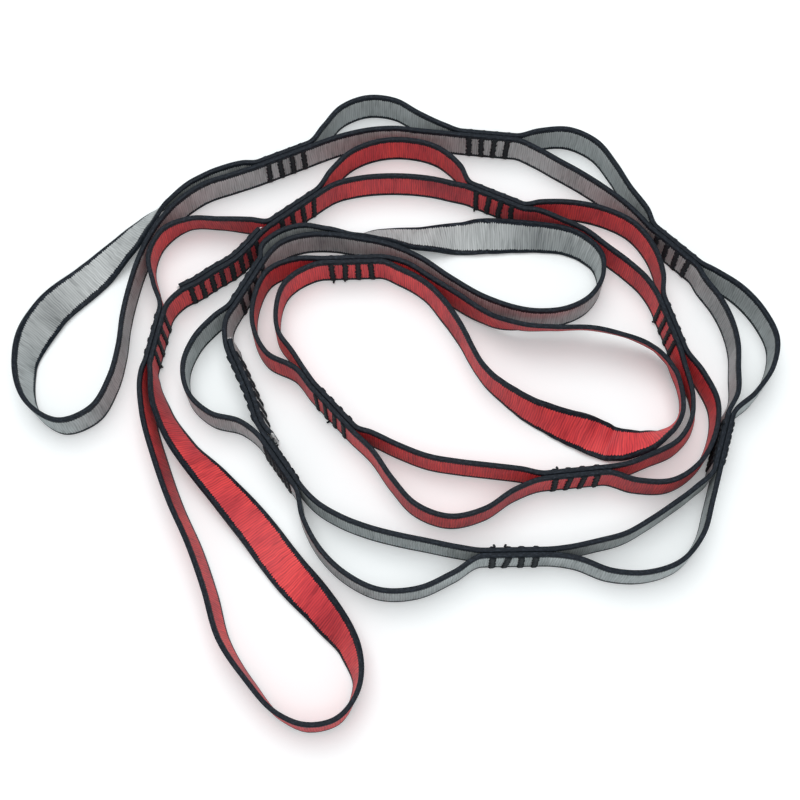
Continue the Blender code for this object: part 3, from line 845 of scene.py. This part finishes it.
@dataclass(frozen=True)
class ThreadFinish:
    """Black bonded sewing thread, slightly glossy and mottled where it is worn.

    Attributes:
        colour: Its colour.
        worn: Its paler colour where it is worn.
        fuzz: Noise of the fibres.
        patches: Noise of the worn places.
    """

    colour: tuple = (0.010, 0.013, 0.017)
    worn: tuple = (0.028, 0.034, 0.041)
    fuzz: Grain = Grain(2400, 3)
    patches: Grain = Grain(500, 2)

    def make(self, name: str) -> Material:
        """Make the material on object coordinates."""
        material = bpy.data.materials.new(name)
        sheet = NodeSheet(material)
        place = sheet.add("ShaderNodeTexCoord").outputs["Object"]
        fuzz = sheet.noise(place, self.fuzz)
        patches = sheet.ramp(sheet.noise(place, self.patches), 0.3, 0.7, 0.2, 0.8)
        share = sheet.maths("MULTIPLY", sheet.ramp(fuzz, *WORN), patches)
        sheet.set(
            base_color=sheet.blend(share, self.colour, self.worn),
            roughness=sheet.ramp(fuzz, 0.3, 0.7, 0.42, 0.62),
            specular_ior_level=0.2,
            sheen_weight=0.03,
            sheen_roughness=0.5,
        )
        sheet.relief(fuzz, depth=0.00008)
        return material


@dataclass(frozen=True)
class FloorFinish:
    """Plain matt floor: white to the camera, darker for the light that it sends back.

    Attributes:
        seen: Its colour to the camera.
        bounced: Its colour to all other light.
        glow: Even white added to what the camera sees, which lifts the shadows.
    """

    seen: tuple = (0.94, 0.975, 0.98)
    bounced: tuple = (0.66, 0.73, 0.745)
    glow: float = 0.15

    def make(self, name: str) -> Material:
        """Make the material."""
        material = bpy.data.materials.new(name)
        sheet = NodeSheet(material)
        is_seen = sheet.add("ShaderNodeLightPath").outputs["Is Camera Ray"]
        sheet.set(
            base_color=sheet.blend(is_seen, self.bounced, self.seen),
            emission_strength=sheet.maths("MULTIPLY", is_seen, self.glow),
            roughness=0.9,
            specular_ior_level=0.1,
            emission_color=(1, 1, 1),
        )
        return material


@dataclass
class Loom:
    """Weaves stretches of flat webbing from one modelled slice, one cross rib long.

    Attributes:
        half_thickness: Half the thickness between ribs.
        rib_rise: Height of a rib on each face.
        bead: Extra half thickness of the selvedge.
        bead_width: Width of the selvedge bead.
        bead_step: Width of the step between the bead and the face.
        bead_ribs: How much a rib swells the bead, through the webbing and across it.
        corner: Roundness of the selvedge.
        sharpest: Angle in degrees above which an edge stays sharp.
        pick: The modelled slice.
    """

    half_thickness: float = 0.00120
    rib_rise: float = 0.00004
    bead: float = 0.00003
    bead_width: float = 0.0027
    bead_step: float = 0.0004
    bead_ribs: tuple = (1.01, 1.005)
    corner: float = 0.00055
    sharpest: float = 50
    pick: Piece = None

    def model_pick(self) -> None:
        """Model one slice of webbing: a tube of one rib, open at both ends."""
        half_width, mid = WEBBING_WIDTH / 2, RIB_PITCH / 2
        inner = half_width - self.bead_width
        swell = 1 + self.bead / self.half_thickness
        rise = 1 + self.rib_rise / self.half_thickness
        deselect()
        size = (RIB_PITCH, 2 * self.half_thickness, WEBBING_WIDTH)
        bpy.ops.mesh.primitive_cube_add(size=1, location=(mid, 0, 0), scale=size)
        pick = bpy.context.object
        pick.name = "webbing_pick"
        freeze(pick)
        with editing(pick):
            choose(pick, "face", lambda face: abs(face.normal.x) > 0.9)
            bpy.ops.mesh.delete(type="ONLY_FACE")
            choose(pick, "edge", lambda edge: abs(edge.verts[0].co.x - edge.verts[1].co.x) > mid)
            bpy.ops.mesh.bevel(offset=self.corner, segments=3, profile=0.6, affect="EDGES")
            upper = (inner, inner - self.bead_step, inner / 2)
            for height in (*upper, 0.0, *(-level for level in reversed(upper))):
                cut((0, 0, height), (0, 0, 1))
            cut((mid, 0, 0), (1, 0, 0))
            for test, factors in (
                (lambda x, z: inner + NEAR < z < half_width - NEAR, (1, swell, 1)),
                (lambda x, z: abs(z - inner) < NEAR, (1, 1 - 0.5 * (swell - 1), 1)),
                (lambda x, z: x < NEAR and z < inner - NEAR, (1, rise, 1)),
                (lambda x, z: x < NEAR and z > inner + NEAR, (1, *self.bead_ribs)),
            ):
                choose(pick, "vert", lambda vert: test(abs(vert.co.x - mid), abs(vert.co.z)))
                bpy.ops.transform.resize(value=factors, center_override=(mid, 0, 0))
        self.pick = pick

    @staticmethod
    def guide(name: str, stations: list[Station]) -> Piece:
        """Draw the curve that bends a stretch of webbing into its lay."""
        lay = bpy.data.curves.new(name, "CURVE")
        lay.dimensions = "3D"
        lay.twist_mode = "Z_UP"
        spline = lay.splines.new("POLY")
        spline.points.add(len(stations) - 1)
        for point, station in zip(spline.points, stations):
            point.co = (*station.centre, 1)
            point.tilt = -station.roll
        return hang(name, lay)

    def band(self, name: str, fine: Route, material: Material, start: float) -> Piece:
        """Weave one stretch of webbing along a route.

        Args:
            name: Name of the piece.
            fine: Route in short steps.
            material: Finish of the webbing.
            start: Place of the stretch along the whole strap, for its pattern.

        Returns:
            The piece, closed at both ends.
        """
        stations = resample(fine, RIB_PITCH / 2)
        guide = self.guide(f"{name}_lay", stations)
        length = sum((b.centre - a.centre).length for a, b in zip(stations, stations[1:]))
        ribs = round(length / RIB_PITCH)
        pitch = length / ribs
        piece = duplicate(self.pick)
        piece.name = piece.data.name = name
        piece.scale = (pitch / RIB_PITCH, 1, 1)
        freeze(piece)
        modify(
            piece,
            "ARRAY",
            count=ribs,
            use_relative_offset=False,
            use_constant_offset=True,
            constant_offset_displace=(pitch, 0, 0),
            use_merge_vertices=True,
            merge_threshold=2 * NEAR,
        )
        with editing(piece):
            bpy.ops.mesh.select_all(action="SELECT")
            bpy.ops.mesh.fill_holes(sides=0)
        place = piece.data.attributes.new(PLACE, "FLOAT_VECTOR", "POINT")
        stretch = RIB_PITCH / pitch
        first = round(start / RIB_PITCH) * RIB_PITCH
        for vert, value in zip(piece.data.vertices, place.data):
            value.vector = (first + vert.co.x * stretch, vert.co.y, vert.co.z)
        modify(piece, "CURVE", object=guide, deform_axis="POS_X")
        bpy.data.objects.remove(guide, do_unlink=True)
        take(piece)
        bpy.ops.object.shade_smooth_by_angle(angle=math.radians(self.sharpest))
        dress(piece, material)
        return piece


@dataclass
class Needle:
    """Sews bars of satin stitch from one modelled stitch.

    Attributes:
        thread: Radius of the thread.
        rise: How far the middle of a stitch arches off the webbing.
        arch: Half the length of that middle, as a share of the stitch.
        taper: Thickness of a stitch's two ends against its middle.
        pitch: Distance between stitches along a bar.
        slant: How far a stitch's ends lie up and down the bar, in pitches.
        knot: How far a bar strays sideways.
        ragged: How far a stitch's end strays.
        bulge: Height of the slow waves in a bar's edges.
        seed: Seed of the small irregularities.
        stitch: The modelled stitch.
        chance: Source of the small irregularities.
    """

    thread: float = 0.00042
    rise: float = 0.00034
    arch: float = 0.28
    taper: float = 0.7
    pitch: float = 0.00064
    slant: float = 0.55
    knot: float = 0.0001
    ragged: float = 0.0003
    bulge: float = 0.0002
    seed: int = 7
    stitch: Piece = None
    chance: random.Random = None

    def model_stitch(self) -> None:
        """Model one stitch of unit length, whose ends dive into the webbing."""
        self.chance = random.Random(self.seed)
        deselect()
        bpy.ops.mesh.primitive_cylinder_add(
            vertices=6, radius=self.thread, depth=1.0, end_fill_type="NGON"
        )
        stitch = bpy.context.object
        stitch.name = "satin_stitch"
        stitch.rotation_euler = (0, math.pi / 2, 0)
        freeze(stitch)
        with editing(stitch):
            for share in (-self.arch, self.arch):
                cut((share, 0, 0), (1, 0, 0))
            choose(stitch, "vert", lambda vert: abs(vert.co.x) < self.arch + NEAR)
            bpy.ops.transform.translate(value=(0, 0, self.rise))
            choose(stitch, "vert", lambda vert: abs(vert.co.x) > 0.5 - NEAR)
            thin = (1, self.taper, self.taper)
            bpy.ops.transform.resize(value=thin, center_override=(0, 0, 0))
        self.stitch = stitch

    def stray(self, reach: float) -> float:
        """Draw a small irregularity, either way."""
        return self.chance.uniform(-reach, reach)

    def lay_stitch(self, start: Vector, end: Vector, out: Vector, gauge: float = 1.0) -> Piece:
        """Copy the stitch between two points of a face.

        Args:
            start: Where the thread comes out.
            end: Where it goes in.
            out: Unit normal of the face.
            gauge: Thickness of this thread against the usual one.
        """
        span = end - start
        ahead = span.normalized()
        side = out.cross(ahead).normalized()
        up = ahead.cross(side)
        axes = Matrix((ahead * span.length, side * gauge, up * gauge))
        axes = axes.transposed().to_4x4()
        axes.translation = (start + end) / 2
        copy = duplicate(self.stitch)
        copy.matrix_world = axes
        return copy

    def bar(self, foot: Vector, top: Vector, ahead: Vector, out: Vector) -> list[Piece]:
        """Sew one bar of satin stitch up a face.

        Args:
            foot: Middle of the bar's lower end, on the face.
            top: Middle of its upper end.
            ahead: Unit direction across the bar.
            out: Unit normal of the face.

        Returns:
            The stitches.
        """
        count = max(4, round((top - foot).length / self.pitch))
        rise = (top - foot) / count
        stitches = []
        knot = self.stray(self.knot)
        for index in range(count):
            level = foot + rise * (index + 0.5)
            slant = rise * self.slant * (1 if index % 2 else -1)
            waves = math.sin(index * 1.1 + foot.x * 900), math.cos(index * 0.9 + foot.y * 900)
            left, right = (
                SEWN_WIDTH / 2 + self.stray(self.ragged) + self.bulge * wave for wave in waves
            )
            start = level - ahead * (left - knot) - slant
            end = level + ahead * (right + knot) + slant
            stitches.append(self.lay_stitch(start, end, out))
        return stitches

    def tail(self, tack: Tack, tail: Tail, face: float) -> list[Piece]:
        """Leave a loose thread end, bent once, on a bartack's sewn face."""
        out = tack.left * tail.side.value
        root = tack.middle + tack.along * bar_place(tail.bar)
        root = root + out * face + UP * tail.height
        ahead, outward, upward = (TAIL_REACH * share for share in tail.drift)
        tip = root + tack.along * ahead + out * outward + UP * upward
        bend = root.lerp(tip, 0.5) + out * TAIL_BOW * outward
        runs = zip((root, bend), (bend, tip), TAIL_GAUGES)
        return [self.lay_stitch(start, end, UP, gauge) for start, end, gauge in runs]

    def fray_end(self, end: Station, travel: int) -> list[Piece]:
        """Loose yarns at a cut end of webbing.

        Args:
            end: Last cross-section of the webbing.
            travel: 1 where the cut faces ahead, -1 where it faces back.

        Returns:
            The yarns.
        """
        away = end.ahead * travel
        root_out, tip_up, tip_out = FRAY_STRAYS
        yarns = []
        for level in range(-FRAY_ROWS, FRAY_ROWS + 1):
            root = end.centre + end.across * (level * FRAY_PITCH)
            root += end.out * self.stray(root_out) - away * FRAY_ROOT
            tip = root + away * (FRAY_ROOT + self.chance.uniform(*FRAY_REACH))
            tip += end.across * self.stray(tip_up) + end.out * self.stray(tip_out)
            tip.z = max(tip.z, FRAY_LOWEST)
            yarns.append(self.lay_stitch(root, tip, end.out, FRAY_GAUGE))
        return yarns


class Strap:
    """One strap: its webbing, its bartacks and its splice."""

    def __init__(
        self, layout: StrapLayout, centre: Vector, loom: Loom, needle: Needle, finishes: dict
    ) -> None:
        self.layout = layout
        self.centre = centre
        self.loom = loom
        self.needle = needle
        self.webbing = finishes[layout.title]
        self.thread = finishes["thread"]
        self.tacks = [Tack.from_plan(*row) for row in layout.tacks]

    def build(self) -> None:
        """Build every piece of the strap."""
        layout, tacks = self.layout, self.tacks
        route = self.loop_route(
            tacks[0], -1, layout.loop_a_sides, layout.loop_a_rolls, layout.loop_a
        )
        travelled = self.weave("loop_a", route, 0.0)
        strands = zip(tacks, tacks[1:], layout.outer, layout.inner)
        for pocket, (first, second, outer, inner) in enumerate(strands, 1):
            for side, points in ((Side.OUTER, outer), (Side.INNER, inner)):
                route = strand_route(tack_exit(first, side, 1), points, tack_exit(second, side, -1))
                name = f"pocket_{pocket}_{side.name.lower()}_strand"
                travelled = self.weave(name, route, travelled)
            if pocket == layout.splice_pocket:
                self.sew_splice(route, travelled)
        route = self.loop_route(tacks[-1], 1, tuple(Side), layout.loop_b_rolls, layout.loop_b)
        self.weave("loop_b", route, travelled)
        for number, tack in enumerate(tacks, 1):
            self.sew_bartack(number, tack)

    @staticmethod
    def loop_route(tack: Tack, travel: int, sides: tuple, rolls: tuple, points: tuple) -> Route:
        """Route of an end loop, from a bartack's seam back to the same seam."""
        leave, arrive = (tack_exit(tack, side, travel, roll) for side, roll in zip(sides, rolls))
        return strand_route(leave, points, arrive)

    def finish(self, piece: Piece, node: str, slot: Slot) -> None:
        """Move a piece to the frame's origin, hang it on its body, hide the part it stands for and
        log it.
        """
        piece.location = self.centre
        freeze(piece)
        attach(piece, BODY)
        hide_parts(node)
        LOG.info("%s: %d faces for %s", piece.name, len(piece.data.polygons), node)

    def weave(self, name: str, fine: Route, start: float, has_cut_ends: bool = False) -> float:
        """Weave a stretch of webbing.

        Args:
            name: Name of its node, without the strap.
            fine: Route in short steps.
            start: Where it starts along the whole strap.
            has_cut_ends: Whether its ends are cut and fray.

        Returns:
            Where the next stretch starts along the strap.
        """
        node = f"{self.layout.title}_{name}"
        piece = self.loom.band(f"{node}_woven", fine, self.webbing, start)
        if has_cut_ends:
            ends = resample(fine, RIB_PITCH)
            needle = self.needle
            yarns = needle.fray_end(ends[0], -1) + needle.fray_end(ends[-1], 1)
            piece = join_all([piece, *yarns], piece.name)
        self.finish(piece, node, self.layout.slot)
        return start + route_length(fine)

    def sew_bartack(self, number: int, tack: Tack) -> None:
        """Sew one bartack on both faces of the doubled webbing, with its tails."""
        layout, needle = self.layout, self.needle
        face = LAYER_PITCH / 2 + self.loom.half_thickness + STITCH_SEAT
        steps = 2 if number in layout.dense_tacks else 1
        low, high = TACK_BAR_ENDS
        stitches = []
        for side in Side:
            out = tack.left * side.value
            for step in range((BARS_PER_TACK - 1) * steps + 1):
                lean = tack.along * needle.stray(TACK_BAR_LEAN)
                middle = tack.middle + tack.along * bar_place(step / steps)
                middle = middle + out * face
                foot, top = middle + UP * low - lean, middle + UP * high + lean
                stitches += needle.bar(foot, top, tack.along, out)
        for tail in layout.tails:
            if tail.tack == number:
                stitches += needle.tail(tack, tail, face)
        self.gather(f"bartack_{number}_stitching", stitches)

    def gather(self, name: str, stitches: list[Piece]) -> None:
        """Join stitches into one piece of thread work, dress it in thread and finish it."""
        node = f"{self.layout.title}_{name}"
        piece = join_all(stitches, f"{node}_satin")
        take(piece)
        bpy.ops.object.shade_smooth()
        dress(piece, self.thread)
        self.finish(piece, node, Slot.THREAD)

    def overlap_route(self, carrier: Route) -> Route:
        """Route of the overlapping end: a short flap, then beside its strand."""
        side = self.layout.splice_side.value
        stations = resample(carrier, FLAP_STEP, side * LAYER_PITCH, self.layout.splice_range)
        sewn = [Waypoint(Vector((*at.centre.xy, 0)), math.degrees(at.roll)) for at in stations]
        ahead = stations[0].ahead
        away = UP.cross(ahead) * side
        flap = []
        for step in range(round(self.layout.flap / FLAP_STEP), 0, -1):
            place = sewn[0].place - ahead * (step * FLAP_STEP)
            place = place + away * (FLAP_PEEL * step**2)
            flap.append(Waypoint(place, sewn[0].roll))
        return flap + sewn

    def sew_splice(self, carrier: Route, start: float) -> None:
        """Lay the overlapping end and sew bars on both faces of the doubled webbing."""
        side = self.layout.splice_side.value
        begin, finish = self.layout.splice_range
        self.weave("splice_overlap", self.overlap_route(carrier), start, True)
        margin = SPLICE_END_MARGIN / route_length(carrier)
        reach = (begin + margin, finish - margin)
        face = self.loom.half_thickness + STITCH_SEAT
        for name, offset, outward in (
            ("splice_overlap_stitching", side * (LAYER_PITCH + face), side),
            ("splice_strand_stitching", -side * face, -side),
        ):
            stitches = []
            # A bar at every second station, and none at the last one
            for station in resample(carrier, SPLICE_BAR_PITCH / 2, offset, reach)[:-1:2]:
                up = station.across * SPLICE_BAR_REACH
                foot, top = station.centre - up, station.centre + up
                out = station.out * outward
                stitches += self.needle.bar(foot, top, station.ahead, out)
            self.gather(name, stitches)


@dataclass
class Studio:
    """Floor, lamps, surroundings and camera.

    Attributes:
        camera_stand: Where the camera stands, from the lay's own origin.
        camera_pitch: Its turn from looking straight down, in degrees.
        sensor_width: Width of its sensor, in millimetres.
        focal_length: Its focal length, in millimetres.
        floor_size: Side of the floor.
        lamps: Name, place, width and power in watts of each soft lamp.
        sky: Strength of the even light from all round.
        sky_seen: Strength that the camera sees.
        sky_colour: Its colour.
    """

    camera_stand: tuple = (0.002, -0.2618, 0.622)
    camera_pitch: float = 22.5
    sensor_width: float = 36.0
    focal_length: float = 56.25
    floor_size: float = 6
    lamps: tuple = (
        ("overhead_lamp", (-0.24, 0.72, 2.08), 1.6, 21.0),
        ("front_lamp", (0.05, -0.42, 1.15), 0.8, 3.2),
    )
    sky: float = 0.48
    sky_seen: float = 1.05
    sky_colour: tuple = (0.97, 0.985, 1.0)

    def build(self, floor_finish: FloorFinish, centre: Vector) -> None:
        """Set the floor, the light and the camera.

        Args:
            floor_finish: Finish of the floor.
            centre: Shift from the lay's own origin to the frame's.
        """
        deselect()
        bpy.ops.mesh.primitive_plane_add(size=self.floor_size, location=(0, 0, 0))
        floor = bpy.context.object
        floor.name = "studio_floor"
        floor.data.materials.append(floor_finish.make("matt_floor"))
        for name, place, size, power in self.lamps:
            lamp = bpy.data.lights.new(name, "AREA")
            lamp.shape = "SQUARE"
            lamp.size = size
            lamp.energy = power
            holder = hang(name, lamp)
            holder.location = place
            holder.rotation_euler = (-Vector(place)).to_track_quat("-Z", "Y").to_euler()
        self.surround()
        self.aim(Vector(self.camera_stand) + centre)
        bpy.context.scene.view_settings.view_transform = "Standard"

    def surround(self) -> None:
        """Set the even light from all round, which looks brighter to the camera."""
        world = bpy.data.worlds.new("even_surroundings")
        sheet = NodeSheet(world, "Background")
        is_seen = sheet.add("ShaderNodeLightPath").outputs["Is Camera Ray"]
        strength = sheet.scaled(is_seen, self.sky_seen - self.sky, self.sky)
        sheet.set(color=self.sky_colour, strength=strength)
        bpy.context.scene.world = world

    def aim(self, place: Vector) -> None:
        """Stand the camera where the photo was taken from."""
        data = bpy.data.cameras.new("photo_camera")
        data.sensor_width = self.sensor_width
        data.lens = self.focal_length
        camera = hang("photo_camera", data)
        camera.location = place
        camera.rotation_euler = (math.radians(self.camera_pitch), 0, 0)
        bpy.context.scene.camera = camera


def lay_centre() -> Vector:
    """Shift from the lay's own origin to the frame's, from one bartack's box."""
    low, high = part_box("grey_bartack_4_stitching")
    middle = (Vector(low) + Vector(high)) / 2 - Tack.from_plan(*GREY.tacks[3]).middle
    return Vector((middle.x, middle.y, 0.0))


def main() -> None:
    """Build both straps and the studio."""
    logging.basicConfig(level=logging.INFO, format="%(message)s")
    finishes = {
        "grey": GREY_FINISH.make("grey_nylon_webbing"),
        "red": RED_FINISH.make("red_nylon_webbing"),
        "thread": ThreadFinish().make("black_sewing_thread"),
    }
    loom, needle = Loom(), Needle()
    loom.model_pick()
    needle.model_stitch()
    centre = lay_centre()
    for layout in (GREY, RED):
        Strap(layout, centre, loom, needle, finishes).build()
    for pattern in (loom.pick, needle.stitch):
        bpy.data.objects.remove(pattern, do_unlink=True)
    Studio().build(FloorFinish(), centre)


if __name__ == "__main__":
    main()
